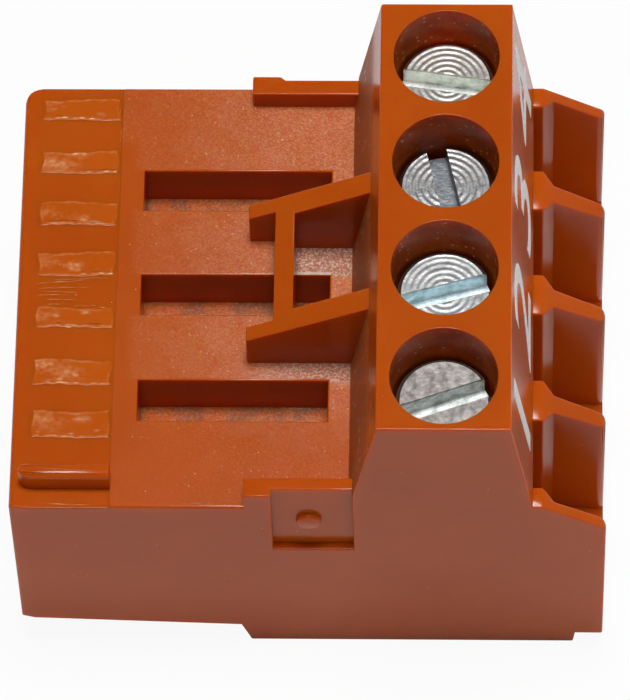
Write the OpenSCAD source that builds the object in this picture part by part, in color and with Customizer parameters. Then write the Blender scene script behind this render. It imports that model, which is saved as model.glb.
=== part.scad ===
// Pluggable screw terminal block: a straight plug that slides onto a pin header and
// clamps one wire per pole. The mating face is at -X, the wire entries at +X and the
// screws point up. The origin is the middle of the underside, +Z up, in millimetres.
// Each pole holds a fork contact with a steel overspring, and a clamping yoke that
// climbs its screw and draws the wire up against the contact's bar.

/* [Poles] */
// Distance from one pole to the next
pitch = 5.08; // [4.8:0.01:5.6]

/* [Housing] */
// Length of the nose that goes into the header, mating face to bottom step
mate_l = 9.8; // [8:0.1:12]
// Length of the deck between the nose and the foot of the screw tower
grip_l = 4.35; // [3.6:0.05:6]
// Length of the tower at its top
tower_top_l = 5.52; // [5.2:0.02:7]
// How far the tower's front face leans back from foot to top
tower_front_run = 1.22; // [0.6:0.02:1.6]
// How far the tower's rear face leans forward from foot to top
tower_rear_run = 0.93; // [0.5:0.01:1.3]
// Height of the tower above the deck
tower_h = 6.93; // [6:0.01:8.4]
// Length of the open wire tray behind the tower
tray_l = 3.07; // [2.5:0.01:4]
// Height of the tray walls above the deck, at the tower
tray_rise = 0.15; // [0:0.01:0.6]
// Length of the level part of the tray walls
tray_flat_l = 0.43; // [0.3:0.01:0.6]
// Downward slope of the tray walls, in degrees
tray_slope = 34.4; // [20:0.2:40]
// Lift of the nose's underside above the foot, at the mating face
nose_lift = 1.96; // [1.6:0.02:2.4]
// Extra thickness that the nose gains towards its root
nose_taper = 0.58; // [0:0.02:0.8]
// Length of the slanted step between the nose and the foot
step_run = 0.41; // [0.2:0.01:0.8]
// Length of the raised underside at the mouth
heel_l = 1.17; // [0.6:0.01:1.8]
// Lift of the underside at the mouth
heel_lift = 0.78; // [0.4:0.02:1.2]
// Plastic under the contact chambers at the mating face
chamber_floor_t = 0.84; // [0.5:0.02:1.4]
// Plastic from the chamber ceiling up to the deck
deck_t = 3.4; // [2.9:0.05:4.2]
// Radius of the nose's far front corner, seen from above
corner_r = 0.7; // [0.2:0.05:1]
// Length of the slight flat that breaks the nose's near front corner
corner_flat_l = 0.55; // [0.2:0.05:1]
// How far that flat sets the near corner back
corner_flat_t = 0.1; // [0.04:0.01:0.2]
// Radius of the long top edges of the deck
edge_r = 0.12; // [0.06:0.01:0.55]
// Radius of the screw bores in the tower
bore_r = 2.225; // [2.05:0.005:2.3]

/* [Deck] */
// Length of the coding strip at the mating face
strip_l = 4.2; // [3:0.1:5]
// How far the coding strip lies below the deck
strip_drop = 0.1; // [0:0.02:0.3]
// Width of a coding rib
rib_w = 0.76; // [0.4:0.02:0.9]
// Height of a coding rib above the strip
rib_h = 1.1; // [0.6:0.05:1.5]
// Gap between the mating face and a rib's nose
rib_gap = 0.42; // [0.2:0.02:0.8]
// Height left where a coding rib has been snapped off
stub_h = 0.05; // [0.04:0.01:0.2]
// Length of the slots between the poles
slot_l = 7.98; // [6:0.02:9]
// Width of the slots between the poles
slot_w = 1.93; // [1.2:0.01:2.2]
// Depth of the slots between the poles
slot_depth = 2.4; // [1.5:0.05:2.8]
// Distance from a slot's end to the foot of the tower
slot_back = 0.93; // [0.5:0.01:1.4]
// Thickness of the two side rails
rail_t = 0.9; // [0.6:0.02:1.3]
// Height of the side rails above the deck
rail_h = 1.02; // [0.6:0.02:1.6]
// Depth of the panel recessed into the near side
panel_depth = 0.34; // [0.15:0.01:0.4]
// Height of that panel below the deck
panel_drop = 3.77; // [2.5:0.01:5]
// Distance from the rail's end to the panel
panel_inset = 1.15; // [0.8:0.05:1.8]
// Diameter of the moulding gate's pip in the panel
pip_d = 1.05; // [0.6:0.05:1.6]

/* [Grip] */
// Outside width across the two grip gussets
grip_w = 6.56; // [5.6:0.02:8]
// Thickness of a gusset in front of the crossbar
gusset_t = 0.68; // [0.4:0.02:1]
// Thickness of a gusset behind the crossbar
gusset_root_t = 1.0; // [0.7:0.02:1.4]
// Height of a gusset above the deck at its front end
gusset_h = 1.9; // [1.2:0.05:2.6]
// Upward slope of the gussets, in degrees
gusset_slope = 28.8; // [15:0.2:34]
// Distance from the gussets' front end to the crossbar
bar_inset = 1.15; // [0.6:0.05:1.8]
// Thickness of the crossbar
crossbar_t = 0.83; // [0.5:0.01:1.2]

/* [Wire tray] */
// Thickness of a wall between two poles, where it leaves the flare
wall_t = 0.84; // [0.6:0.01:1.1]
// Thickness of a wall between two poles at the mouth
wall_tip_t = 0.69; // [0.5:0.01:0.8]
// Thickness of the two end walls
end_wall_t = 0.48; // [0.35:0.01:0.7]
// Thickness of a wall between two poles, at the tower
block_t = 1.92; // [1.6:0.01:2.2]
// Length of the flare from the block to the thin wall
flare_l = 0.45; // [0.3:0.01:0.8]
// How far the tray's floor falls towards the mouth
floor_fall = 0.5; // [0:0.05:0.9]
// Radius of the walls' vertical edges at the mouth
mouth_r = 0.3; // [0.1:0.02:0.32]

/* [Clamp] */
// Free height for the wire with the clamp open
wire_gap = 2.9; // [2.4:0.05:3.4]
// How far the yoke climbs from open to closed
yoke_travel = 2.25; // [1.8:0.05:2.5]
// Width of the yoke across the pole
yoke_w = 3.8; // [3.5:0.02:3.9]
// Length of the yoke along the wire
yoke_l = 4.6; // [4:0.05:5]
// Thickness of the yoke's side walls
yoke_side_t = 0.7; // [0.5:0.02:0.8]
// Thickness of the yoke's floor
yoke_floor_t = 0.8; // [0.6:0.05:1.1]
// Thickness of the yoke's threaded top
yoke_top_t = 1.2; // [0.9:0.05:1.5]
// Radius of the yoke's outer bends
yoke_bend_r = 0.6; // [0.2:0.05:0.8]

/* [Screw] */
// Radius of the screw's shank
shank_r = 1.2; // [1:0.01:1.3]
// Length from the screw's tip to the underside of its head
shank_l = 7.7; // [6.9:0.05:8.6]
// Radius of the screw's head
head_r = 1.98; // [1.6:0.01:2.1]
// Height of the screw's head
head_h = 1.9; // [1.4:0.05:2.2]
// Width of the driver slot
driver_w = 0.85; // [0.5:0.05:1.1]
// Depth of the driver slot
driver_depth = 1; // [0.6:0.05:1.2]

/* [Contact] */
// Thickness of the contact strip
bar_t = 0.8; // [0.6:0.02:1]
// Width of the current bar inside the yoke
bar_w = 2.2; // [1.8:0.02:2.2]
// Distance from the mating face to the stop that the contact seats on
stop_x = 11.8; // [11:0.1:13]
// Length of the contact's shoulder in its grooves
shoulder_l = 1.8; // [1.2:0.05:2.4]
// How far the shoulder reaches into each chamber wall
groove_depth = 0.2; // [0.1:0.01:0.24]
// Length of the neck between the shoulder and the fork
neck_l = 2; // [1.2:0.1:2.4]
// Distance from the mating face to the fork's tips
tip_recess = 0.9; // [0.5:0.05:1.4]
// Width of the fork
fork_w = 2.4; // [2:0.05:2.6]
// Thickness of a fork beam
beam_t = 0.5; // [0.35:0.01:0.6]
// Gap between the fork beams where they grip the pin
grip_gap = 0.8; // [0.6:0.02:0.95]
// Thickness of the steel overspring
spring_t = 0.25; // [0.15:0.01:0.3]
// Length of the tab bent down behind the yoke, where the wire's end stops
wire_stop_h = 2.4; // [1.6:0.05:2.6]

/* [Clearances] */
// Gap all round the yoke in its chamber
slide_gap = 0.05; // [0.03:0.01:0.08]
// Gap above and below the yoke at the ends of its travel
end_gap = 0.1; // [0.05:0.01:0.15]
// Radial running clearance of the screw in the yoke
thread_gap = 0.05; // [0.02:0.01:0.1]
// Gap between the screw's tip and the bar
tip_gap = 0.02; // [0.01:0.01:0.05]
// Gap between the yoke's top and the contact's bar with the clamp open
rise_gap = 0.15; // [0.08:0.01:0.3]

/* [Hidden] */
$fn = 64;
poles = 4;                 // one set of nodes for each
eps = 0.02;                // overlap of bodies that fuse, and overrun of cuts
over = 1;                  // overrun of a cut into free air
arc_steps = 6;             // segments in a rounded corner
// Driver slot of each screw as it was left, in degrees from +X
slot_angles = [20, 16, -77, -9];
// The coding position that still has its rib, counted from the -Y side
kept_rib = 0;

// Along X, from the mating face
deck_l = mate_l + grip_l;
tower_x0 = deck_l + tower_front_run;
tower_x1 = tower_x0 + tower_top_l;
tray_x = tower_x1 + tower_rear_run;
body_l = tray_x + tray_l;
screw_x = (tower_x0 + tower_x1) / 2;
cavity_l = yoke_l + 4 * end_gap;
cavity_x = screw_x - cavity_l / 2;
root_x = stop_x - shoulder_l - neck_l;
bar_end_x = screw_x + yoke_l / 2 - end_gap;

// Across Y
body_w = poles * pitch;
chamber_w = yoke_w + 2 * slide_gap;
groove_w = chamber_w + 2 * groove_depth;
channel_w = pitch - block_t;

// Up Z, from the underside of the foot
chamber_z = nose_lift + chamber_floor_t;
yoke_z = chamber_z + end_gap;
wire_z = yoke_z + yoke_floor_t;
bar_z = wire_z + wire_gap;
pin_z = bar_z + bar_t / 2;
lid_z = bar_z + bar_t + rise_gap;
yoke_h = lid_z + yoke_top_t - yoke_z;
ceiling_z = yoke_z + yoke_h + end_gap;
cavity_top_z = ceiling_z + yoke_travel;
deck_z = ceiling_z + deck_t;
strip_z = deck_z - strip_drop;
rail_z = deck_z + rail_h;
tray_z = deck_z + tray_rise;
top_z = deck_z + tower_h;
tip_z = bar_z + bar_t + tip_gap;
head_z = tip_z + shank_l;
seat_z = head_z - 6 * end_gap;

function pole_y(k) = (k - (poles + 1) / 2) * pitch;
function arc(x, y, r, a0, a1) =
    [for (i = [0:arc_steps]) let (a = a0 + (a1 - a0) * i / arc_steps) [x + r * cos(a), y + r * sin(a)]];
function mirrored(points) = [for (i = [len(points) - 1:-1:0]) [points[i].x, -points[i].y]];
// Uneven edge of a break: a repeatable value between -1 and 1
function jag(i) = sin(i * 137.5) * cos(i * 61);

module along_x(from, to) translate([from, 0, 0]) rotate([90, 0, 90]) linear_extrude(to - from) children();
module along_y(width) rotate([90, 0, 0]) linear_extrude(width, center = true) children();
module block(from, to) translate(from) cube(to - from);
module from_face() translate([-body_l / 2, 0, 0]) children();
module each_pole() for (k = [1:poles]) translate([0, pole_y(k), 0]) children();

// ---------- housing ----------

// Side view of the whole housing
module side_outline() {
    nose_root_z = nose_lift - nose_taper;
    mouth_arc_r = 0.35;
    mouth_arc_x = body_l - mouth_arc_r;
    mouth_arc_z = tray_z - (mouth_arc_x - tray_x - tray_flat_l) * tan(tray_slope)
        - mouth_arc_r / cos(tray_slope);
    lip_r = 0.25;
    polygon(concat(
        [[0, nose_lift]],
        arc(lip_r, strip_z - lip_r, lip_r, 180, 90),
        [[strip_l, strip_z], [strip_l, deck_z], [deck_l, deck_z]],
        [[tower_x0, top_z], [tower_x1, top_z], [tray_x, tray_z], [tray_x + tray_flat_l, tray_z]],
        arc(mouth_arc_x, mouth_arc_z, mouth_arc_r, 90 - tray_slope, 0),
        [[body_l, heel_lift], [body_l - heel_l, heel_lift], [body_l - heel_l - 0.08, 0]],
        [[mate_l, 0], [mate_l - step_run, nose_root_z]]
    ));
}

// What is taken off the nose's two front corners, seen from above
module nose_corner_cuts()
    linear_extrude(top_z) {
        polygon(concat(
            [[-over, body_w / 2 + over], [-over, body_w / 2 - corner_r]],
            arc(corner_r, body_w / 2 - corner_r, corner_r, 180, 90),
            [[corner_r, body_w / 2 + over]]
        ));
        polygon([
            [-over, -body_w / 2 - over], [corner_flat_l, -body_w / 2 - over], [corner_flat_l, -body_w / 2],
            [0, corner_flat_t - body_w / 2], [-over, corner_flat_t - body_w / 2]
        ]);
    }

// Rounds one long top edge: seen along X, radius r at height z
module long_edge_cut(side, z, r, from, to)
    along_x(from, to)
        polygon(concat(
            [[side * (body_w / 2 + over), z + over], [side * (body_w / 2 - r), z + over]],
            [for (p = arc(body_w / 2 - r, z - r, r, 90, 0)) [side * p.x, p.y]],
            [[side * (body_w / 2 + over), z - r]]
        ));

module rail(side)
    along_x(mate_l, tower_x0)
        polygon([
            [side * body_w / 2, deck_z - edge_r], [side * body_w / 2, rail_z],
            [side * (body_w / 2 - rail_t), rail_z], [side * (body_w / 2 - rail_t), deck_z - edge_r]
        ]);

// Two sloping gussets and the crossbar that joins them
module grip() {
    rise = tan(gusset_slope);
    bar_x = mate_l + bar_inset;
    back_x = bar_x + crossbar_t;
    for (side = [-1, 1]) {
        translate([0, side * (grip_w - gusset_t) / 2, 0]) along_y(gusset_t) gusset_outline(mate_l);
        translate([0, side * (grip_w - gusset_root_t) / 2, 0]) along_y(gusset_root_t) gusset_outline(back_x - eps);
    }
    along_y(grip_w - gusset_t)
        polygon([
            [bar_x, deck_z - slot_depth - eps], [back_x, deck_z - slot_depth - eps],
            [back_x, gusset_top_z(back_x)], [bar_x, gusset_top_z(bar_x)]
        ]);
}

function gusset_top_z(x) = deck_z + gusset_h + (x - mate_l) * tan(gusset_slope);

module gusset_outline(from)
    polygon([
        [from, deck_z - eps], [tower_x0, deck_z - eps],
        [tower_x0, gusset_top_z(tower_x0)], [from, gusset_top_z(from)]
    ]);

// A whole coding rib: round nose towards the mating face, rounded top
module coding_rib() {
    nose_l = 0.6;
    top_r = 0.28;
    intersection() {
        linear_extrude(top_z)
            polygon(concat(
                [for (a = [-90:15:90]) [rib_gap + nose_l - nose_l * cos(a), -rib_w / 2 * sin(a)]],
                [[strip_l + eps, -rib_w / 2], [strip_l + eps, rib_w / 2]]
            ));
        along_x(0, body_l)
            polygon(concat(
                arc(rib_w / 2 - top_r, strip_z + rib_h - top_r, top_r, 0, 90),
                arc(top_r - rib_w / 2, strip_z + rib_h - top_r, top_r, 90, 180),
                [[-rib_w / 2, strip_z - eps], [rib_w / 2, strip_z - eps]]
            ));
    }
}

// What is left of a snapped rib: a low torn patch with a burr along its -Y edge
module rib_stub(seed) {
    steps = 9;
    tear = 0.07;
    run = strip_l - 2 * rib_gap;
    edge = [for (i = [0:steps]) [rib_gap * 1.6 + run * i / steps, rib_w + tear * jag(seed + i)]];
    base = [for (i = [steps:-1:0]) [rib_gap * 1.6 + run * i / steps, -rib_w / 3 + tear * jag(seed + 20 + i)]];
    translate([0, 0, strip_z - eps]) {
        linear_extrude(stub_h + eps) polygon(concat(edge, base));
        linear_extrude(1.7 * stub_h + eps)
            polygon(concat(base, [for (i = [0:steps]) base[steps - i] + [0, 0.14 + tear * jag(seed + 40 + i)]]));
    }
}

module coding_row()
    for (i = [0:2 * poles - 1])
        translate([0, (i + 0.5) * pitch / 2 - body_w / 2, 0])
            if (i == kept_rib) coding_rib();
            else rib_stub(7 * i);

// Chamber of one pole: open at the mating face, deeper under the screw, open to the tray
module pole_cavity() {
    block([-over, -chamber_w / 2, chamber_z], [cavity_x + over, chamber_w / 2, ceiling_z]);
    block([-over, -groove_w / 2, bar_z], [stop_x, groove_w / 2, bar_z + bar_t]);
    block([cavity_x, -chamber_w / 2, chamber_z], [cavity_x + cavity_l, chamber_w / 2, cavity_top_z]);
    translate([screw_x, 0, cavity_top_z - eps]) cylinder(r = shank_r + 4 * thread_gap, h = top_z);
    translate([screw_x, 0, seat_z]) cylinder(r = bore_r, h = top_z);
    wire_hole();
}

// Round-topped hole through the tower's rear wall
module wire_hole() {
    sill_z = wire_z + thread_gap;
    arch_z = bar_z - channel_w / 4;
    x0 = cavity_x + cavity_l - over;
    x1 = tray_x + eps;
    block([x0, -channel_w / 2, sill_z], [x1, channel_w / 2, arch_z]);
    intersection() {
        translate([x0, 0, arch_z]) rotate([0, 90, 0]) cylinder(r = channel_w / 2, h = x1 - x0);
        block([x0, -channel_w, arch_z - eps], [x1, channel_w, top_z]);
    }
}

// Open funnel of one pole in the wire tray; an end wall may be thinner than a middle one
module funnel(k) {
    sill_z = wire_z + thread_gap;
    tip_l = tray_l - tray_flat_l - flare_l - mouth_r;
    intersection() {
        linear_extrude(top_z)
            polygon(concat(
                funnel_side(k == poles ? end_wall_t : wall_t / 2, k == poles ? end_wall_t : wall_tip_t / 2),
                mirrored(funnel_side(k == 1 ? end_wall_t : wall_t / 2, k == 1 ? end_wall_t : wall_tip_t / 2))
            ));
        along_y(2 * pitch)
            polygon([
                [tray_x - over, sill_z], [tray_x + tray_flat_l, sill_z],
                [body_l + over, sill_z - floor_fall * (tip_l + over) / tip_l],
                [body_l + over, top_z - eps], [tray_x - over, top_z - eps]
            ]);
    }
}

// Half of a funnel seen from above: channel, flare, drafted wall and round nose
function funnel_side(root_half, tip_half) =
    let (x1 = tray_x + tray_flat_l, x2 = x1 + flare_l, x3 = body_l - mouth_r, y3 = pitch / 2 - tip_half)
    concat(
        [[tray_x, channel_w / 2], [x1, channel_w / 2], [x2, pitch / 2 - root_half]],
        [for (p = arc(x3, y3 + mouth_r, mouth_r, -90, -15)) p],
        [[body_l + over, y3 + mouth_r]]
    );

// Panels let into the two long sides; the -Y one is the deeper and holds the pip
module side_panels() {
    x0 = mate_l + panel_inset;
    x1 = deck_l + (rail_z - deck_z) * tower_front_run / tower_h;
    far_y = body_w / 2 - panel_depth / 2;
    ramp = 0.25;
    block([x0, -body_w / 2 - over, deck_z - panel_drop], [x1, -body_w / 2 + panel_depth, rail_z + over]);
    translate([0, 0, deck_z - panel_drop])
        linear_extrude(top_z)
            polygon([[x0 - over, body_w / 2 + over], [x0, body_w / 2], [x0 + ramp, far_y], [x1, far_y], [x1, body_w / 2 + over]]);
}

module gate_pip() {
    pip_h = 0.65 * panel_depth;
    translate([mate_l + grip_l * 0.615, -body_w / 2 + panel_depth + eps, deck_z - panel_drop * 0.43])
        rotate([90, 0, 0]) cylinder(d = pip_d, h = pip_h + eps);
}

module housing()
    color([0.72, 0.3, 0.06])
        from_face() {
            difference() {
                union() {
                    difference() {
                        along_y(body_w) side_outline();
                        nose_corner_cuts();
                        for (side = [-1, 1]) long_edge_cut(side, deck_z, edge_r, -over, mate_l);
                        for (i = [1:poles - 1])
                            translate([deck_l - slot_back - slot_l, i * pitch - body_w / 2 - slot_w / 2, deck_z - slot_depth])
                                cube([slot_l, slot_w, top_z]);
                    }
                    rail(-1);
                    rail(1);
                    grip();
                    coding_row();
                }
                for (side = [-1, 1]) long_edge_cut(side, rail_z, edge_r * 0.7, mate_l - over, deck_l);
                side_panels();
                each_pole() pole_cavity();
                for (k = [1:poles]) translate([0, pole_y(k), 0]) funnel(k);
            }
            gate_pip();
        }

// ---------- clamp ----------

module clamp_screw(k) {
    bevel = 0.22;
    point_l = 0.7;
    point_r = shank_r * 0.78;
    color([0.72, 0.72, 0.7])
        from_face()
            translate([screw_x, pole_y(k), 0])
                difference() {
                    rotate_extrude()
                        polygon([
                            [0, tip_z], [point_r - bevel, tip_z], [point_r, tip_z + bevel],
                            [point_r, tip_z + point_l], [shank_r, tip_z + point_l + bevel],
                            [shank_r, head_z], [head_r, head_z],
                            [head_r, head_z + head_h - bevel], [head_r - bevel, head_z + head_h],
                            [0, head_z + head_h]
                        ]);
                    rotate([0, 0, slot_angles[k - 1]])
                        translate([-head_r - over, -driver_w / 2, head_z + head_h - driver_depth])
                            cube([2 * (head_r + over), driver_w, driver_depth + over]);
                }
}

// Bent steel box: threaded top, floor with two grip teeth under the wire
module clamp_yoke(k) {
    half = yoke_w / 2;
    tooth = 0.12;
    color([0.62, 0.63, 0.64])
        from_face()
            translate([screw_x, pole_y(k), 0])
                difference() {
                    along_x(-yoke_l / 2, yoke_l / 2)
                        polygon(concat(
                            arc(half - yoke_bend_r, yoke_z + yoke_h - yoke_bend_r, yoke_bend_r, 0, 90),
                            arc(yoke_bend_r - half, yoke_z + yoke_h - yoke_bend_r, yoke_bend_r, 90, 180),
                            arc(yoke_bend_r - half, yoke_z + yoke_bend_r, yoke_bend_r, 180, 270),
                            arc(half - yoke_bend_r, yoke_z + yoke_bend_r, yoke_bend_r, 270, 360)
                        ));
                    block([-yoke_l, yoke_side_t - half, wire_z], [yoke_l, half - yoke_side_t, lid_z]);
                    for (i = [-1:1])
                        block([i * yoke_l / 4 - tooth, yoke_side_t - half, wire_z - tooth],
                              [i * yoke_l / 4 + tooth, half - yoke_side_t, wire_z + over]);
                    translate([0, 0, lid_z - over]) cylinder(r = shank_r + thread_gap, h = yoke_top_t + 2 * over);
                }
}

// ---------- contact ----------

// Outside of the upper fork beam, as heights above the pin's axis
function beam_outer() =
    let (bend_x = tip_recess + 1.9, high = grip_gap / 2 + beam_t)
    [[root_x, high + 0.35], [bend_x + 0.9, high + 0.2], [bend_x + 0.2, high], [bend_x - 0.2, high], [tip_recess, high + 0.45]];

module beam_pair_outline()
    for (side = [-1, 1])
        polygon(concat(
            [for (p = beam_outer()) [p.x, pin_z + side * p.y]],
            [for (i = [4:-1:0]) let (p = beam_outer()[i]) [p.x, pin_z + side * (p.y - beam_t)]]
        ));

module contact(k) {
    root_h = beam_outer()[0].y;
    groove_run = 0.3;
    color([0.8, 0.76, 0.68])
        from_face()
            translate([0, pole_y(k), 0]) {
                along_y(fork_w) {
                    beam_pair_outline();
                    translate([root_x - eps, pin_z - root_h]) square([neck_l * 0.55 + eps, 2 * root_h]);
                }
                block([root_x, -fork_w / 2, bar_z], [stop_x - shoulder_l + eps, fork_w / 2, bar_z + bar_t]);
                block([stop_x - shoulder_l, -groove_w / 2, bar_z], [stop_x, groove_w / 2, bar_z + bar_t]);
                block([cavity_x - bar_t, -bar_w / 2, bar_z - wire_stop_h], [cavity_x, bar_w / 2, bar_z + eps]);
                difference() {
                    block([stop_x - eps, -bar_w / 2, bar_z], [bar_end_x, bar_w / 2, bar_z + bar_t]);
                    for (i = [-1:1])
                        block([screw_x + i * yoke_l / 4, -bar_w, bar_z - over],
                              [screw_x + i * yoke_l / 4 + groove_run, bar_w, bar_z + bar_t / 6]);
                }
            }
}

// Thin steel clip round the root of the fork, with a leaf on each beam
module overspring(k) {
    root_h = beam_outer()[0].y;
    leaf = [for (i = [0:3]) beam_outer()[i]];
    collar_l = neck_l * 0.5;
    color([0.75, 0.76, 0.78])
        from_face()
            translate([0, pole_y(k), 0]) {
                along_y(fork_w * 0.7)
                    for (side = [-1, 1])
                        polygon(concat(
                            [[root_x + eps, pin_z + side * root_h]],
                            [for (p = leaf) [p.x, pin_z + side * p.y]],
                            [for (i = [3:-1:0]) [leaf[i].x, pin_z + side * (leaf[i].y + spring_t)]],
                            [[root_x + eps, pin_z + side * (root_h + spring_t)]]
                        ));
                difference() {
                    block([root_x, -fork_w / 2, pin_z - root_h - spring_t],
                          [root_x + collar_l, fork_w / 2 + spring_t, pin_z + root_h + spring_t]);
                    block([root_x - over, -fork_w, pin_z - root_h], [root_x + neck_l, fork_w / 2, pin_z + root_h]);
                }
            }
}

housing();
clamp_screw(1);  // clamp_screw_1
clamp_screw(2);  // clamp_screw_2
clamp_screw(3);  // clamp_screw_3
clamp_screw(4);  // clamp_screw_4
clamp_yoke(1);  // clamp_yoke_1
clamp_yoke(2);  // clamp_yoke_2
clamp_yoke(3);  // clamp_yoke_3
clamp_yoke(4);  // clamp_yoke_4
contact(1);  // contact_1
contact(2);  // contact_2
contact(3);  // contact_3
contact(4);  // contact_4
overspring(1);  // overspring_1
overspring(2);  // overspring_2
overspring(3);  // overspring_3
overspring(4);  // overspring_4
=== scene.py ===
import math

import bmesh
import bpy
import numpy as np
from mathutils import Matrix, Vector


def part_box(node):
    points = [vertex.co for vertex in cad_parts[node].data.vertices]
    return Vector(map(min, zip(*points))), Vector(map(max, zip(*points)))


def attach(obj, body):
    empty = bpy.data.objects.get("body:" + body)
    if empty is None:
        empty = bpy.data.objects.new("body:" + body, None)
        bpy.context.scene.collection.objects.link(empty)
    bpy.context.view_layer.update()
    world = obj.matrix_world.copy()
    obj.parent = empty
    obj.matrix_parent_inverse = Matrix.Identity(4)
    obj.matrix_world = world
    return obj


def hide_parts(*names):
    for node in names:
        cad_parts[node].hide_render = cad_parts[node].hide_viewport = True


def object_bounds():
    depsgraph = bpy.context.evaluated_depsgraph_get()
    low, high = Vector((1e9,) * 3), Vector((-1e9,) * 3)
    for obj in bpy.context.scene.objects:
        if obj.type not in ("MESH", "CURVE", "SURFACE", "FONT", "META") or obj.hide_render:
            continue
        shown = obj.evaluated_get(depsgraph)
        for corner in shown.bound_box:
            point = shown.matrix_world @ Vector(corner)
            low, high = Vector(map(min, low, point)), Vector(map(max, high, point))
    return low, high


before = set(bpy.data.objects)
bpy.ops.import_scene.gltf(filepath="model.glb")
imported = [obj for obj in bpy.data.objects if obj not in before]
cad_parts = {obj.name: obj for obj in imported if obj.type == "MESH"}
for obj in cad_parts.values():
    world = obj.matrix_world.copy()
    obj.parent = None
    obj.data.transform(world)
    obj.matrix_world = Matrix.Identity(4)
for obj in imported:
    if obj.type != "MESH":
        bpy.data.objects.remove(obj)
CAD_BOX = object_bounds()

bl_info = {
    "name": "Pluggable terminal block",
    "version": (1, 0, 0),
    "blender": (4, 5, 0),
    "location": "View3D > Sidebar > Terminal block",
    "description": "Dresses a four-pole terminal block: moulding, screws, clamps, contacts and studio",
    "category": "Object",
}

MM = 0.001
POLES = (1, 2, 3, 4)
PITCH = 5.08
# The plug's own measures, in millimetres: X and L from the mating face, Z from the underside, W across the
# poles, and the height of a screw's head
HALF_LENGTH = CAD_BOX[1].x / MM
TOP_Z = CAD_BOX[1].z / MM
STRIP_L, STRIP_Z, DECK_Z = 4.2, 12.15, 12.25
SLOT_X, SLOT_W, SLOT_DEPTH = 5.24, 1.93, 2.4
TOWER_X, TOWER_REAR, TRAY_X, TRAY_Z = 14.2, 20.89, 21.82, 12.40
HEAD_Z, HEAD_HEIGHT = 17.02, 1.9

# Angles between faces, in degrees: below the first they are one face, from the second on the edge between
# them gets its rounding, and past the third an edge is shaded sharp
FLAT, CORNER, CREASE = 0.6, 24, 50


def along(mm):
    """Millimetres from the mating face to metres along X."""
    return (mm - HALF_LENGTH) * MM


def plug(x, y, z):
    """Points given in millimetres from the mating face, the middle and the underside, as rows in metres."""
    x, y, z = np.broadcast_arrays(np.asarray(x, float) - HALF_LENGTH, y, z)
    return np.stack([x, y, z], axis=-1).reshape(-1, 3) * MM


# ---------- colour and nodes ----------


def linear(code, alpha=1.0):
    """sRGB hex code to the linear colour that the shaders take."""
    channels = [int(code[i : i + 2], 16) / 255 for i in (1, 3, 5)]
    return tuple(c / 12.92 if c <= 0.04045 else ((c + 0.055) / 1.055) ** 2.4 for c in channels) + (alpha,)


def fill(node, links):
    """Fills a node's inputs, each with a socket to join or a value to set."""
    for name, value in links.items():
        if isinstance(value, bpy.types.NodeSocket):
            node.id_data.links.new(value, node.inputs[name])
        else:
            node.inputs[name].default_value = value


def add(tree, kind, links=None, **settings):
    """Adds a node: links fills its inputs and settings sets its own options."""
    node = tree.nodes.new(kind)
    for name, value in settings.items():
        setattr(node, name, value)
    fill(node, links or {})
    return node


def new_material(name, **constants):
    """A material, its Principled shader with these constants, and the object's coordinates in metres."""
    made = bpy.data.materials.new(name)
    made.use_nodes = True
    tree = made.node_tree
    tree.nodes.clear()
    shader = add(tree, "ShaderNodeBsdfPrincipled")
    fill(shader, {socket.replace("_", " "): value for socket, value in constants.items()})
    add(tree, "ShaderNodeOutputMaterial", {"Surface": shader.outputs[0]})
    place = add(tree, "ShaderNodeTexCoord").outputs["Object"]
    return made, shader, place


def per_metre(mm):
    """The Scale of a pattern whose grain is this many millimetres wide."""
    return 1.0 / (mm * MM)


def parts(socket):
    """The X, Y and Z of a vector or a colour."""
    return tuple(add(socket.id_data, "ShaderNodeSeparateXYZ", {0: socket}).outputs)


def ramp(value, stops):
    """Colours along a value, through (position, colour) stops."""
    node = add(value.id_data, "ShaderNodeValToRGB", {"Fac": value})
    band = node.color_ramp
    while len(band.elements) < len(stops):
        band.elements.new(0.5)
    for element, (position, colour) in zip(band.elements, stops):
        element.position = position
        element.color = colour
    return node.outputs["Color"]


def joined_by(operation, *values):
    """Values and sockets joined two at a time by one operation, such as ADD or MINIMUM."""
    tree = next(value.id_data for value in values if isinstance(value, bpy.types.NodeSocket))
    total = values[0]
    for value in values[1:]:
        total = add(tree, "ShaderNodeMath", {0: total, 1: value}, operation=operation).outputs[0]
    return total


def product(*values):
    """Masks multiplied: 1 only where all of them are."""
    return joined_by("MULTIPLY", *values)


def largest(*values):
    """Masks laid together: 1 where any of them is."""
    return joined_by("MAXIMUM", *values)


def rise(value, low, high, bottom=0.0, top=1.0):
    """Bottom up to low, top from high on, and a smooth step between; high below low turns it round."""
    links = {0: value, 1: low, 2: high, 3: bottom, 4: top}
    return add(value.id_data, "ShaderNodeMapRange", links, interpolation_type="SMOOTHSTEP").outputs[0]


def window(value, low, high, soft):
    """1 between low and high, 0 outside, with soft shoulders."""
    return product(rise(value, low - soft, low + soft), rise(value, high + soft, high - soft))


def blend(share, first, second):
    """Two colours mixed: share 0 gives the first and 1 the second."""
    return add(share.id_data, "ShaderNodeMix", {0: share, 6: first, 7: second}, data_type="RGBA").outputs[2]


def spots(place, cell, edge, chance):
    """Soft round spots in some cells of a pattern, each cell some millimetres wide.

    edge is the distances from a cell's centre, in cells, at which a spot starts and is full. chance is the
    lots that a cell draws, from 0 to 1, at which its spot starts to show and is full.
    """
    links = {"Vector": place, "Scale": per_metre(cell), "Randomness": 1.0}
    cells = add(place.id_data, "ShaderNodeTexVoronoi", links)
    lot = parts(cells.outputs["Color"])[0]
    return product(rise(cells.outputs["Distance"], *edge), rise(lot, *chance))


# ---------- meshes ----------


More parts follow.
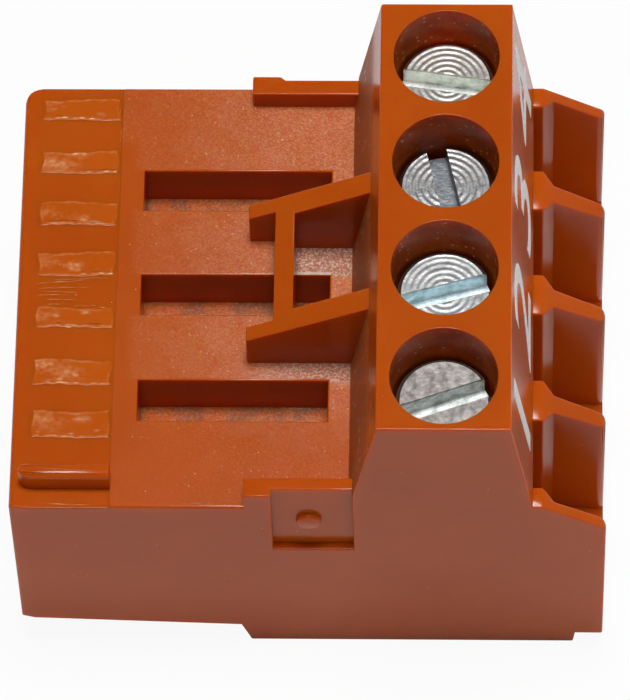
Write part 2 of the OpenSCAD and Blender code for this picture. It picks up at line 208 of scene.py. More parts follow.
def grid_faces(rows, columns, closed_columns=False):
    """Quads of a grid of rows by columns points, numbered row by row, its columns closed round when asked."""
    i = np.arange(rows - 1)
    j = np.arange(columns if closed_columns else columns - 1)
    a, b = np.meshgrid(i, j, indexing="ij")
    a2, b2 = a + 1, (b + 1) % columns
    corners = [a * columns + b, a2 * columns + b, a2 * columns + b2, a * columns + b2]
    return np.stack(corners, axis=-1).reshape(-1, 4)


def joined(patches):
    """One array of points and one of quads from several (points, quads) patches."""
    starts = np.cumsum([0] + [len(points) for points, _ in patches[:-1]])
    return (
        np.concatenate([points for points, _ in patches]),
        np.concatenate([quads + start for (_, quads), start in zip(patches, starts)]),
    )


def linked(name, mesh):
    """An object that shows a mesh, linked to the scene."""
    piece = bpy.data.objects.new(name, mesh)
    bpy.context.scene.collection.objects.link(piece)
    return piece


def new_piece(name, points, quads, made, body, sharp, merge=1e-7, values=None):
    """A mesh object from arrays of points in metres and quads: merged, facing outwards, and riding on a body.

    sharp is the angle in degrees past which an edge is shaded sharp, and merge the distance in metres at
    which two points become one. values, where given, is one number for each point of an open sheet that
    already faces up, kept as the attribute "whitened".
    """
    mesh = bpy.data.meshes.new(name)
    mesh.from_pydata(points.tolist(), [], quads.tolist())
    if values is not None:
        whitening_and_glint = mesh.attributes.new("whitening_and_glint", "FLOAT", "POINT")
        whitening_and_glint.data.foreach_set("value", values.astype(np.float32))
    work = bmesh.new()
    work.from_mesh(mesh)
    bmesh.ops.remove_doubles(work, verts=work.verts, dist=merge)
    if values is None:
        bmesh.ops.recalc_face_normals(work, faces=work.faces)
    work.to_mesh(mesh)
    work.free()
    piece = linked(name, mesh)
    mesh.materials.append(made)
    mesh.shade_smooth()
    mesh.set_sharp_from_angle(angle=math.radians(sharp))
    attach(piece, body)
    return piece


def flat_faces_joined(mesh, reshape):
    """Merges a CAD node's loose triangles, calls reshape(mesh data), and joins what lies in one plane."""
    work = bmesh.new()
    work.from_mesh(mesh)
    bmesh.ops.remove_doubles(work, verts=work.verts, dist=2e-6)
    for _ in range(2):
        bmesh.ops.dissolve_degenerate(work, dist=5e-7, edges=work.edges)
    if reshape:
        reshape(work)
    bmesh.ops.dissolve_limit(work, angle_limit=math.radians(FLAT), verts=work.verts, edges=work.edges)
    return work


def face_width(face, edge):
    """How far a face reaches from the line of one of its edges."""
    start = edge.verts[0].co
    way = (edge.verts[1].co - start).normalized()
    return max((v.co - start - way * (v.co - start).dot(way)).length for v in face.verts)


def weigh_edges(work, radius, room_for):
    """Gives each outward edge its share of the radius, and shades inward edges sharp.

    The share is 0.4 times the narrower of the edge's two faces over the radius, 1 at most, so low steps keep
    their shape. room_for(edge) may scale it.
    """
    weights = work.edges.layers.float
    weight = weights.get("bevel_weight_edge") or weights.new("bevel_weight_edge")
    for edge in work.edges:
        edge.smooth = True
        if len(edge.link_faces) != 2:
            continue
        turn = edge.calc_face_angle_signed(0.0)
        if abs(turn) < math.radians(CORNER):
            continue
        if turn < 0:
            edge.smooth = False
            continue
        room = min(face_width(face, edge) for face in edge.link_faces)
        edge[weight] = min(1.0, 0.4 * room / radius) * (room_for(edge) if room_for else 1.0)


def rounded(piece, radius):
    """The piece's mesh with its weighted edges rounded for good, so that the creases it meets can be marked.

    Points that a rounding pushes past the object's box by a few micrometres are brought back to it.
    """
    bevel = piece.modifiers.new("Rounding", "BEVEL")
    bevel.width = radius
    bevel.segments = 2
    bevel.limit_method = "WEIGHT"
    bevel.use_clamp_overlap = False
    mesh = bpy.data.meshes.new_from_object(piece.evaluated_get(bpy.context.evaluated_depsgraph_get()))
    piece.modifiers.remove(bevel)
    points = np.zeros(len(mesh.vertices) * 3)
    mesh.vertices.foreach_get("co", points)
    mesh.vertices.foreach_set("co", np.clip(points.reshape(-1, 3), *CAD_BOX).ravel())
    return mesh


def mark_creases(mesh):
    """Shades sharp every edge whose faces turn by more than the crease angle."""
    work = bmesh.new()
    work.from_mesh(mesh)
    for edge in work.edges:
        if len(edge.link_faces) == 2 and edge.calc_face_angle(0.0) > math.radians(CREASE):
            edge.smooth = False
    work.to_mesh(mesh)
    work.free()


def rounded_copy(node, name, body, slot, radius, finishes, reshape=None, room_for=None):
    """A CAD node's mesh with its flat faces joined up and its outward edges rounded, in place of the node."""
    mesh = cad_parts[node].data.copy()
    mesh.name = name
    work = flat_faces_joined(mesh, reshape)
    weigh_edges(work, radius, room_for)
    work.to_mesh(mesh)
    work.free()
    mesh.polygons.foreach_set("use_smooth", np.ones(len(mesh.polygons), bool))
    piece = linked(name, mesh)
    finished = rounded(piece, radius)
    piece.data = finished
    bpy.data.meshes.remove(mesh)
    finished.name = name
    mark_creases(finished)
    finished.materials.clear()
    for made in finishes:
        finished.materials.append(made)
    even = piece.modifiers.new("Even shading", "WEIGHTED_NORMAL")
    even.keep_sharp = True
    even.weight = 100
    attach(piece, body)
    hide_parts(node)
    return piece


# ---------- finishes of the moulding ----------


def moulded_polyester(looks, name, dot_cell):
    """PBT polyester, injection moulded: a dense saturated orange under a thin gloss, in two tones that drift.

    Gives the material, its shader, the coordinates, the colour so far and a mask of pale dots of about 0.06
    mm, one in each cell of the given width in millimetres that the surface happens to cross: dust and nicks,
    on the deck also painted glints.
    """
    made, shader, place = new_material(
        name,
        IOR=1.57,
        Specular_IOR_Level=0.16,
        Subsurface_Weight=0.7,
        Subsurface_Radius=(1.0, 0.15, 0.02),
        Subsurface_Scale=0.001,
    )
    tree = made.node_tree
    links = {"Vector": place, "Scale": per_metre(4.348), "Detail": 3.0, "Roughness": 0.55}
    tone = add(tree, "ShaderNodeTexNoise", links)
    colour = ramp(tone.outputs["Fac"], [(0.3, looks.plastic_dark), (0.7, looks.plastic_light)])
    links = {"Vector": place, "Scale": per_metre(dot_cell), "Randomness": 1.0}
    cells = add(tree, "ShaderNodeTexVoronoi", links)
    dot_radius = 0.034 / dot_cell
    dust_and_glints = rise(cells.outputs["Distance"], dot_radius, 0.55 * dot_radius)
    return made, shader, place, colour, dust_and_glints


def add_ripple(shader, place, rough):
    """What ground steel leaves: an even gloss, bent a little by ripples 2 mm wide."""
    links = {"Vector": place, "Scale": per_metre(2.0), "Detail": 2.0}
    wave = add(place.id_data, "ShaderNodeTexNoise", links)
    links = {"Height": wave.outputs["Fac"], "Strength": 0.25, "Distance": 0.03 * MM}
    bump = add(place.id_data, "ShaderNodeBump", links)
    fill(shader, {"Normal": bump.outputs[0], "Roughness": rough})


def in_bores(place):
    """1 on the walls of the screw bores, from the screws' heads to just under the tower's top."""
    x, y, z = parts(place)
    deep = window(z, (HEAD_Z - 0.4) * MM, (TOP_Z - 0.15) * MM, 0.1 * MM)
    inner = window(x, along(15.75), along(TOWER_REAR - 0.2), 0.02 * MM)
    return product(deep, inner, rise(joined_by("ABSOLUTE", y, 0.0), 9.95 * MM, 9.9 * MM))


def on_slope(place):
    """1 on the tower's slope over the deck up to below its top, known by its place and the way it faces."""
    x, _, z = parts(place)
    facing = parts(add(place.id_data, "ShaderNodeTexCoord").outputs["Normal"])[0]
    up_slope = product(rise(z, DECK_Z * MM, (DECK_Z + 0.4) * MM), rise(z, 18.8 * MM, 14.6 * MM))
    return product(up_slope, window(x, along(14.0), along(15.34), 0.03 * MM), rise(facing, -0.9, -0.96))


def slope_colour(place, colour, slope):
    """Grey-brown in patches, and a few pale spots that are painted glints, all drawn out up the slope."""
    tree = place.id_data
    drawn = add(tree, "ShaderNodeVectorMath", {0: place, 1: (1.0, 1.0, 0.4)}, operation="MULTIPLY").outputs[0]
    links = {"Vector": drawn, "Scale": per_metre(0.3846), "Detail": 3.0, "Roughness": 0.6}
    patch_noise = add(tree, "ShaderNodeTexNoise", links)
    grey_patches = product(slope, rise(patch_noise.outputs["Fac"], 0.35, 0.65, 0.25, 0.75))
    # painted glints: pale spots in the base colour stand in for the lamp sparkling on the slope's grain
    painted_glints = product(spots(drawn, 0.28, (0.34, 0.15), (0.5, 0.8)), slope, 0.6)
    return blend(painted_glints, blend(grey_patches, colour, linear("#86583F")), linear("#F0C8A8"))


def bore_colour(place, colour, bore):
    """Painted glow in patches down the bores, and the pale specks that a driver rubs off."""
    links = {"Vector": place, "Scale": per_metre(1.111), "Detail": 4.0, "Roughness": 0.6}
    glow_patches = add(place.id_data, "ShaderNodeTexNoise", links)
    # painted glow: lighter orange in patches on the bore walls, standing in for light bounced off the screws
    # and let through the thin walls
    painted_glow = product(bore, rise(glow_patches.outputs["Fac"], 0.35, 0.7, 0.15, 0.75))
    specks = product(bore, spots(place, 0.3, (0.3, 0.12), (0.5, 0.8)))
    return blend(specks, blend(painted_glow, colour, linear("#E87A3C")), linear("#FFCFA0"))


def polyester_against_ground_steel(looks):
    """Most of the moulding: ground steel leaves it smooth and deep orange, with thin bright lines on edges.

    The tower's slope is greyer and rougher, with painted glints, and the bores carry pale specks, a painted
    glow and less gloss.
    """
    made, shader, place, colour, dust_and_glints = moulded_polyester(looks, "PBT_against_ground_steel", 1.1)
    add_ripple(shader, place, looks.gloss_rough)
    slope, bore = on_slope(place), in_bores(place)
    colour = bore_colour(place, slope_colour(place, colour, slope), bore)
    fill(
        shader,
        {
            "Base Color": blend(product(dust_and_glints, 0.7), colour, looks.stressed),
            "Roughness": rise(slope, 0.0, 0.7, looks.gloss_rough, 0.5),
            "Specular IOR Level": rise(bore, 0.0, 1.0, 0.16, 0.09),
        },
    )
    return made


def torn_polyester(looks):
    """Where ribs were snapped off or the surface was scored: smooth, with ridges that went white in tearing;
    their pale lines are partly a painted highlight.

    The attribute "whitened" says how pale. These sheets have nothing under them for the light to spread in.
    """
    made, shader, place, colour, dust_and_glints = moulded_polyester(looks, "PBT_torn", 1.1)
    add_ripple(shader, place, looks.gloss_rough)
    attribute = {"attribute_name": "whitening_and_glint", "attribute_type": "GEOMETRY"}
    pale = add(made.node_tree, "ShaderNodeAttribute", **attribute).outputs["Fac"]
    codes = ((0.2, "#BE5C1C"), (0.55, "#C8703A"), (0.82, "#DA945E"), (1.0, "#F4CDA6"))
    stretched = ramp(pale, [(position, linear(code)) for position, code in codes])
    colour = blend(rise(pale, 0.0, 0.5), colour, stretched)
    fill(
        shader,
        {
            "Base Color": blend(product(dust_and_glints, 0.7), colour, looks.stressed),
            "Roughness": rise(pale, 0.0, 0.6, looks.gloss_rough, 0.5),
            "Subsurface Weight": 0.0,
            "Specular IOR Level": 0.08,
        },
    )
    return made


def deck_veil(x, y):
    """How rough the deck's steel was, which also places the painted sheen and painted glints: more towards
    the tower and away from pole 1, not before the slots.
    """
    off_row = joined_by("PINGPONG", y, PITCH * MM / 2)
    in_line = rise(off_row, (SLOT_W / 2 + 0.12) * MM, (SLOT_W / 2 - 0.05) * MM)
    before_slot = rise(x, along(SLOT_X + 0.2), along(SLOT_X - 0.1))
    deck_foot = rise(x, along(SLOT_X - 0.1), along(SLOT_X - 0.7))
    middle = window(y, -7.4 * MM, 7.4 * MM, 0.4 * MM)
    plain = product(middle, largest(product(in_line, before_slot), deck_foot))
    near_tower = rise(x, along(3.5), along(13.5), 0.25, 1.0)
    near_side = rise(y, -8.0 * MM, -2.0 * MM, 0.3, 1.0)
    return product(near_tower, near_side, joined_by("SUBTRACT", 1.0, plain))


def beside_grip(x, y):
    """How rough the steel was on the narrow floor at each side of the grip, and where painted shade and
    painted glints lie there: most near the tower.
    """
    one = product(window(x, along(11.6), along(14.4), 0.15 * MM), window(y, 0.9 * MM, 2.4 * MM, 0.1 * MM))
    other = product(rise(x, along(9.0), along(12.5), 0.0, 0.75), window(y, -4.2 * MM, -3.1 * MM, 0.1 * MM))
    return largest(one, other)


def burr_on_rim(x, y):
    """1 along the far rim of the middle slot, where a near-white painted highlight lies."""
    return product(window(x, along(11.8), along(13.3), 0.08 * MM), window(y, 1.0 * MM, 1.12 * MM, 0.03 * MM))


def polyester_against_eroded_steel(looks):
    """The deck and the slots' floors: spark-eroded steel leaves dimples, so the lamp breaks into glints, here
    painted.

    A painted sheen of them grows towards the tower, a paler and a darker tone side by side look granular, the
    floors carry painted shade in grey-brown patches, a painted highlight runs along the middle slot's far
    rim, and beside the grip painted grey glints lie on a painted shade.
    """
    made, shader, place, colour, dust_and_glints = moulded_polyester(looks, "PBT_against_spark_eroded_steel", 0.55)
    tree = made.node_tree
    x, y, z = parts(place)
    grain = looks.spark_grain
    links = {"Vector": place, "Scale": per_metre(grain)}
    dimples = add(tree, "ShaderNodeTexVoronoi", links, feature="SMOOTH_F1")
    links = {"Vector": place, "Scale": 1.1 * per_metre(grain), "Detail": 1.0}
    fine = add(tree, "ShaderNodeTexNoise", links).outputs["Fac"]
    links = {"Vector": place, "Scale": 0.8 * per_metre(grain), "Detail": 3.0, "Roughness": 0.7}
    coarse = add(tree, "ShaderNodeTexNoise", links).outputs["Fac"]
    links = {"Vector": place, "Scale": per_metre(1.111), "Detail": 3.0, "Roughness": 0.6}
    cloud = add(tree, "ShaderNodeTexNoise", links).outputs["Fac"]
    veil, narrow = deck_veil(x, y), beside_grip(x, y)
    patchy = product(veil, rise(cloud, 0.3, 0.65, 0.6, 1.0))
    floor = rise(z, (DECK_Z - 0.6) * MM, (DECK_Z - 1.2) * MM)
    frost_and_glints = largest(narrow, product(floor, 0.22))

    height = joined_by("ADD", dimples.outputs["Distance"], product(fine, 0.4))
    power = joined_by("MINIMUM", 1.0, joined_by("ADD", product(patchy, 0.34), frost_and_glints))
    bump = add(tree, "ShaderNodeBump", {"Height": height, "Strength": power, "Distance": 0.25 * grain * MM})

    # painted sheen: a paler speckle where the deck is rough, for the lamp's light spread by its dimples
    colour = blend(product(rise(fine, 0.4, 0.64, 0.0, 0.42), veil), colour, linear("#DE9C56"))
    # painted shade: darker grey-brown patches on the floors at the bottom of the narrow slots
    colour = blend(product(floor, rise(cloud, 0.4, 0.62), 0.5), colour, linear("#6B4632"))
    # painted highlight: a near-white line along the middle slot's far rim, for the lamp's glint there
    colour = blend(product(burr_on_rim(x, y), 0.95), colour, linear("#FFF4EE"))
    # painted shade: a darker grey-brown ground on the narrow floor beside the grip, which the gussets half
    # shade
    colour = blend(product(narrow, 0.55), colour, linear("#8A5A48"))
    # painted glints: pale grey flecks beside the grip and, fainter, on the slots' floors
    colour = blend(product(rise(coarse, 0.44, 0.62), frost_and_glints, 0.85), colour, linear("#E2BFA8"))
    # painted glints: pale dots in the base colour, like the dense dots of the 0.55 mm cells, for the lamp's
    # glints on the dimples
    glints = product(spots(place, 0.17, (0.4, 0.15), (0.75, 1.0)), veil, 0.7)
    rough = joined_by("ADD", looks.gloss_rough + 0.04, product(patchy, 0.2), product(frost_and_glints, 0.2))
    fill(
        shader,
        {
            "Base Color": blend(largest(dust_and_glints, glints), colour, looks.stressed),
            "Roughness": rough,
            "Specular IOR Level": product(rise(patchy, 0.0, 0.7, 0.3, 0.52), rise(floor, 0.0, 1.0, 1.0, 0.4)),
            "Normal": bump.outputs[0],
        },
    )
    return made


# ---------- finishes of the metal and the print ----------


def darker(colour, share):
    """A colour scaled down, its alpha left whole."""
    return (*(share * c for c in colour[:3]), 1)


def bright_metal(name, colour, rough, scratch, bumpiness, slot=None):
    """Zinc or tin plate, or bare spring steel: silvery, with fine handling marks that break up reflections.

    scratch is the marks' width in millimetres. slot, where given, is the tone of a screw's driver slot, set
    lighter or darker per screw as painted light and shade.
    """
    made, shader, place = new_material(name, Metallic=1.0)
    links = {"Vector": place, "Scale": per_metre(scratch), "Detail": 4.0, "Roughness": 0.65}
    marks = add(made.node_tree, "ShaderNodeTexNoise", links).outputs["Fac"]
    shade = ramp(marks, [(0.34, darker(colour, 0.55)), (0.6, colour)])
    if slot:
        cut = window(parts(place)[2], (HEAD_Z - 1.1) * MM, (HEAD_Z - 0.12) * MM, 0.04 * MM)
        # painted light and shade: each slot's tone is lighter or darker for how brightly it catches the light
        shade = blend(cut, shade, ramp(marks, [(0.36, darker(slot, 0.6)), (0.58, slot)]))
    links = {0: marks, 1: 0.3, 2: 0.7, 3: rough + 0.1, 4: rough - 0.05}
    gloss = add(made.node_tree, "ShaderNodeMapRange", links)
    links = {"Height": marks, "Strength": bumpiness, "Distance": scratch * MM * 0.12}
    bump = add(made.node_tree, "ShaderNodeBump", links)
    fill(shader, {"Base Color": shade, "Roughness": gloss.outputs[0], "Normal": bump.outputs[0]})
    return made


def marking_ink(looks):
    """Pad-printed ink: matt white, a little thin in places so that the orange shows through."""
    made, shader, place = new_material("pad_printed_ink", Roughness=0.55)
    links = {"Vector": place, "Scale": per_metre(0.1667), "Detail": 2.0}
    thin = add(made.node_tree, "ShaderNodeTexNoise", links)
    colour = ramp(thin.outputs["Fac"], [(0.28, linear("#D9B7A4")), (0.42, looks.ink)])
    fill(shader, {"Base Color": colour})
    return made


# ---------- marks on the moulding ----------

# Each torn patch: its near and far line, its bright stretch in x, and the power of its ridges
RIB_SCARS = (
    (-6.76, -5.62, (1.0, 3.5), 0.6),
    (-4.24, -3.18, (1.3, 4.0), 0.7),
    (-1.48, -0.66, (1.2, 4.1), 0.65),
    (1.02, 2.02, (2.6, 4.1), 0.8),
    (3.5, 4.48, (1.2, 3.6), 0.6),
    (6.04, 6.98, (2.4, 4.1), 0.75),
    (8.69, 9.56, (1.3, 3.0), 1.0),
)
# The soft clouds of stress whitening in each of them, as (x, y, size, strength)
CLOUDS = (
    ((1.2, -5.9, 0.3, 0.3), (2.9, -5.95, 0.16, 0.5), (1.6, -6.3, 0.3, 0.22), (3.6, -6.5, 0.06, 0.8)),
    ((1.3, -3.4, 0.28, 0.42), (2.2, -3.75, 0.3, 0.4), (2.62, -3.86, 0.05, 1.0), (1.9, -4.05, 0.08, 0.6)),
    ((1.2, -1.0, 0.3, 0.25), (2.9, -0.85, 0.08, 0.6), (1.7, -1.0, 0.05, 0.6)),
    ((1.3, 1.6, 0.3, 0.22), (2.3, 1.5, 0.16, 0.55), (2.4, 1.25, 0.1, 0.5)),
    ((1.25, 4.0, 0.25, 0.25), (2.6, 3.8, 0.14, 0.4), (2.7, 3.66, 0.05, 0.9)),
    ((1.0, 6.5, 0.28, 0.5), (2.4, 6.9, 0.2, 0.35), (1.8, 6.3, 0.3, 0.3)),
    ((1.1, 9.2, 0.2, 0.28), (3.3, 8.9, 0.1, 0.3)),
)
# Each scratch: where it starts and ends in x and y, the level that it lies on, and how pale it is
SCRATCHES = (
    ((0.6, 0.5), (2.95, 0.78), STRIP_Z, 0.75),
    ((0.9, 0.68), (3.6, 0.9), STRIP_Z, 0.3),
    ((0.7, 0.3), (3.2, 0.42), STRIP_Z, 0.4),
    ((0.65, -0.02), (2.3, 0.0), STRIP_Z, 0.7),
    ((0.8, 0.14), (3.0, 0.2), STRIP_Z, 0.3),
    ((0.75, -0.24), (2.8, -0.2), STRIP_Z, 0.4),
    ((1.15, -0.5), (2.0, -0.42), STRIP_Z, 0.6),
    ((2.2, -0.55), (3.3, -0.5), STRIP_Z, 0.3),
    ((3.0, -0.5), (4.18, -0.63), STRIP_Z, 0.8),
    ((1.1, 0.98), (4.05, 0.86), STRIP_Z, 0.45),
    ((4.12, 8.5), (4.15, 7.3), STRIP_Z, 0.5),
    ((4.08, 9.55), (4.12, 8.6), STRIP_Z, 0.4),
    ((4.1, 5.9), (4.13, 4.6), STRIP_Z, 0.3),
    ((4.05, 4.5), (4.08, 3.2), STRIP_Z, 0.4),
    ((0.9, -8.9), (4.0, -8.92), STRIP_Z + 1.1, 0.35),
    ((4.35, -0.95), (4.62, -2.9), DECK_Z, 0.25),
    ((4.7, -1.1), (5.45, -1.27), DECK_Z, 0.45),
    ((4.85, -2.15), (5.4, -2.2), DECK_Z, 0.4),
    ((5.1, -6.9), (5.9, -6.85), DECK_Z, 0.5),
    ((0.95, -9.98), (3.7, -9.96), STRIP_Z, 0.8),
    ((7.0, -9.98), (8.6, -9.97), DECK_Z, 0.5),
)


def hump(distance, width):
    """A Gaussian: 1 at no distance, and about a third at one width."""
    return np.exp(-((distance / width) ** 2))


def smoothed_noise(rng, shape):
    """Random numbers on a grid, smoothed by a Gaussian that is wider along x than along y."""
    grain = rng.normal(0, 1, shape)
    kernel = np.exp(-(np.linspace(-2, 2, 13) ** 2))
    for axis, run in ((0, kernel), (1, kernel[4:9])):
        grain = np.apply_along_axis(lambda row: np.convolve(row, run / run.sum(), "same"), axis, grain)
    return grain


def rib_scar(near, far, bright, power, clouds, rng, start=0.85, end=4.12, step=0.03):
    """Points, quads and whitening of one torn patch between the lines y = near and y = far, in millimetres.

    A grid whose height is the strip's own level plus 9 micrometres inside the patch, sinking below the strip
    at its rim. Two ridges run along x: each is a Gaussian across its line, which wanders by a sum of two
    sines, and its height is power times a wave along x. The near ridge is full inside the bright stretch and
    faint outside, and has a groove beside it. A faint frame follows the rim. The whitening is the height of
    ridges and frame plus soft clouds, broken up by noise stretched along x.
    """
    margin_x, margin_y, rim = 0.15, 0.16, 0.05
    xs = np.arange(start - margin_x, end + margin_x, step)
    ys = np.arange(near - margin_y, far + margin_y, step)
    x, y = np.meshgrid(xs, ys, indexing="ij")
    turn = rng.uniform(0, 2 * np.pi, 10)
    low = near + 0.025 * np.sin(1.9 * x + turn[0]) + 0.012 * np.sin(9.0 * x + turn[1])
    high = far + 0.06 * np.sin(1.5 * x + turn[2]) + 0.02 * np.sin(7.0 * x + turn[3])
    left, right = start + 0.05 * np.sin(5 * y + turn[4]), end - 0.05 + 0.05 * np.sin(5 * y + turn[5])
    depth = np.minimum.reduce([x - left, right - x, y - low + 0.06, high + 0.06 - y])
    inside = np.clip(depth / rim, -1, 1)
    gate = np.clip(inside + 0.4, 0, 1)

    beat = 0.6 + 0.5 * np.sin(6.3 * x + turn[6]) * np.sin(2.9 * x + turn[7]) + 0.25 * np.sin(17 * x + turn[8])
    beat = np.clip(beat, 0, 1)
    full = np.clip(np.minimum(x - bright[0], bright[1] - x) / 0.2 + 0.5, 0, 1)
    ridge = power * hump(y - low, 0.045) * beat * (0.25 + 0.75 * full)
    groove = hump(y - low - 0.12, 0.045) * (0.3 + 0.7 * full)
    brow = hump(y - high, 0.05) * np.clip(1.25 - beat, 0, 1) * 0.6 * power
    frame_line = hump(depth - 0.07, 0.05) * (0.5 + 0.5 * np.sin(3 * x + 5 * y + turn[9]))
    mist = sum(pale * hump(x - cx, 2.2 * size) * hump(y - cy, size) for cx, cy, size, pale in clouds)
    mist = np.clip((1.3 * mist + 0.16) * (0.9 + 1.3 * smoothed_noise(rng, x.shape)), 0, 0.8)

    z = STRIP_Z + np.where(inside > 0, 0.009, 0.009 + 0.022 * inside)
    z = z + (0.02 * ridge + 0.008 * brow - 0.006 * groove + 0.003 * frame_line) * gate + 0.004 * mist
    # on the ridges the whitening is partly stress whitening and partly a painted highlight of the lamp on
    # their near slopes
    white = np.clip(1.05 * ridge + 0.6 * brow + 0.9 * mist + 0.22 * frame_line, 0, 1) * gate
    return plug(x, y, z), grid_faces(*x.shape), white.ravel()


def scratch_lines(lines, rng, width=0.045):
    """Points, quads and whitening of raised scratches: along each line from end to end, a lens-shaped ridge.

    From 6 micrometres below the surface it rises 16 times the root of a sine of the way along, a cosine
    across and a faint wave, and the line itself bends by part of a sine.
    """
    patches, white = [], []
    t, u = np.meshgrid(np.linspace(0, 1, 60), np.linspace(-1, 1, 7), indexing="ij")
    for (x0, y0), (x1, y1), level, pale in lines:
        run, across = np.array([x1 - x0, y1 - y0]), np.array([y0 - y1, x1 - x0])
        across = across / np.hypot(*run)
        bend = 0.03 * np.sin(np.pi * t * rng.uniform(1, 2.4)) + width * u * (0.4 + 0.6 * np.sin(np.pi * t))
        beat = 0.75 + 0.25 * np.sin(t * 17 + rng.uniform(0, 6))
        lens = np.sin(np.pi * t) ** 0.5 * np.cos(np.pi / 2 * u) * beat
        x, y = x0 + run[0] * t + across[0] * bend, y0 + run[1] * t + across[1] * bend
        patches.append((plug(x, y, level + 0.016 * lens - 0.006), grid_faces(*t.shape)))
        white.append((pale * lens).ravel())
    return (*joined(patches), np.concatenate(white))


# ---------- clamp screws ----------


def thread_rows(tip, seat, ring, looks):
    """Heights of the rows of a thread, and their radii round the ring of angles.

    The thread is a triangle wave of z / pitch less the angle / one turn, and it fades out at both ends.
    """
    first, last, rows_in_turn, run_out = tip + 0.95, seat - 0.25, 10, 0.3
    crest, root = looks.shank_r, looks.shank_r - 0.2
    rows = np.linspace(first, last, int((last - first) / looks.thread_pitch * rows_in_turn))
    phase = rows[:, None] / looks.thread_pitch - ring[None, :] / (2 * np.pi)
    tooth = np.abs((phase % 1.0) * 2 - 1)
    fade = np.clip(np.minimum(rows - first, last - rows) / run_out, 0, 1)[:, None]
    return rows, root + (crest - root) * np.clip(1.35 * tooth - 0.1, 0, 1) * fade


def screw_body(tip, seat, radius, floor, ring, looks):
    """Radii and heights of all below the slot's floor, row by row round the axis: point, thread and head."""
    root, blunt = looks.shank_r - 0.2, looks.shank_r * 0.78
    bevel, ease = 0.22, 0.06
    point = [(0.0, tip), (blunt - bevel, tip), (blunt, tip + bevel), (blunt, tip + 0.7), (root, tip + 0.9)]
    head = [(root, seat - 0.2), (root, seat), (radius - ease, seat), (radius, seat + ease), (radius, floor)]
    rows, thread = thread_rows(tip, seat, ring, looks)
    (point_r, point_z), (head_r, head_z) = np.transpose(point), np.transpose(head)
    round_axis = np.ones((1, len(ring)))
    radii = np.concatenate([point_r[:, None] * round_axis, thread, head_r[:, None] * round_axis])
    return radii, np.concatenate([point_z, rows, head_z])[:, None] * round_axis


def slotted_screw(middle_x, middle_y, tip, seat, top, radius, looks, angle, rings, ring_depth):
    """Points and quads of a slotted clamp screw, from its tip to the top of its head, in plug millimetres.

    The head's top is two half moons: rays from the axis at angle t times the widest that the slot leaves at
    that radius, so its rows are circles and carry the turning rings, a raised cosine of the radius. Slot
    walls drop from the half moons' straight sides to the slot's floor. Below the floor the body is one
    profile turned round the axis.
    """
    half, floor = looks.driver_w / 2, top - looks.driver_depth
    bevel = 0.16
    crown = radius - bevel
    rim = math.acos(half / radius)
    r = np.concatenate([np.linspace(half, crown - 0.02, 64), np.linspace(crown, radius, 5)])
    t = np.linspace(-1, 1, 57)
    around = np.arccos(np.clip(half / r, -1, 1))[:, None] * t[None, :]
    wave = 0.5 - 0.5 * np.cos(2 * np.pi * r / rings)
    dish = np.where(r < crown, -ring_depth * wave * np.clip((crown - r) / 0.12, 0, 1), 0)
    dish = dish - np.clip(r - crown, 0, None)
    side = np.sqrt(np.clip(r * r - half * half, 0, None))
    turn = math.radians(angle)
    patches = []

    def put(p, q, z, quads):
        """p runs across the slot and q along it."""
        x = q * math.cos(turn) - p * math.sin(turn)
        y = q * math.sin(turn) + p * math.cos(turn)
        patches.append((plug(middle_x + x, middle_y + y, z), quads))

    for way in (1, -1):
        p, q = way * r[:, None] * np.cos(around), r[:, None] * np.sin(around)
        put(p, q, np.broadcast_to((top + dish)[:, None], p.shape), grid_faces(len(r), len(t)))
        edge_z = np.stack([top + dish, np.full_like(r, floor)])
        for hand in (1, -1):
            q = hand * np.stack([side, side])
            put(np.full_like(q, way * half), q, edge_z, grid_faces(2, len(r)))
        wall_z = np.stack([np.full_like(t, top - bevel), np.full_like(t, floor)])
        wall = np.stack([rim * t, rim * t])
        put(way * radius * np.cos(wall), radius * np.sin(wall), wall_z, grid_faces(2, len(t)))
    mouth = np.linspace(rim, np.pi - rim, 13)
    share = np.concatenate([-side[::-1], side[1:]]) / side[-1]
    p = radius * np.cos(mouth)[:, None] * np.ones_like(share)[None, :]
    put(p, np.sqrt(radius**2 - p**2) * share[None, :], np.full_like(p, floor), grid_faces(*p.shape))
    ring = np.concatenate([rim * t, mouth[1:-1], np.pi + rim * t, np.pi + mouth[1:-1]])
    radii, z = screw_body(tip, seat, radius, floor, ring, looks)
    put(radii * np.cos(ring), radii * np.sin(ring), z, grid_faces(*z.shape, closed_columns=True))
    return joined(patches)


# ---------- moulding and numerals ----------


def sink_stubs(work):
    """Presses the snapped ribs' stubs almost flush, so that the torn patches lie over them."""
    low, high = (STRIP_Z + 0.004) * MM, (STRIP_Z + 0.12) * MM
    wall = along(STRIP_L - 0.02)
    for v in work.verts:
        if v.co.x < wall and low < v.co.z < high and v.co.y > -8.3 * MM:
            v.co.z = STRIP_Z * MM + 0.06 * (v.co.z - STRIP_Z * MM)


def crisper_bore_rim(edge):
    """Half the rounding on the bores' rims, and all of it elsewhere."""
    first, last, side = along(15.6), along(TOWER_REAR - 0.2), 9.9 * MM
    at_top = all(abs(v.co.z - TOP_Z * MM) < 1e-5 for v in edge.verts)
    inner = all(first < v.co.x < last and abs(v.co.y) < side for v in edge.verts)
    return 0.5 if at_top and inner else 1.0


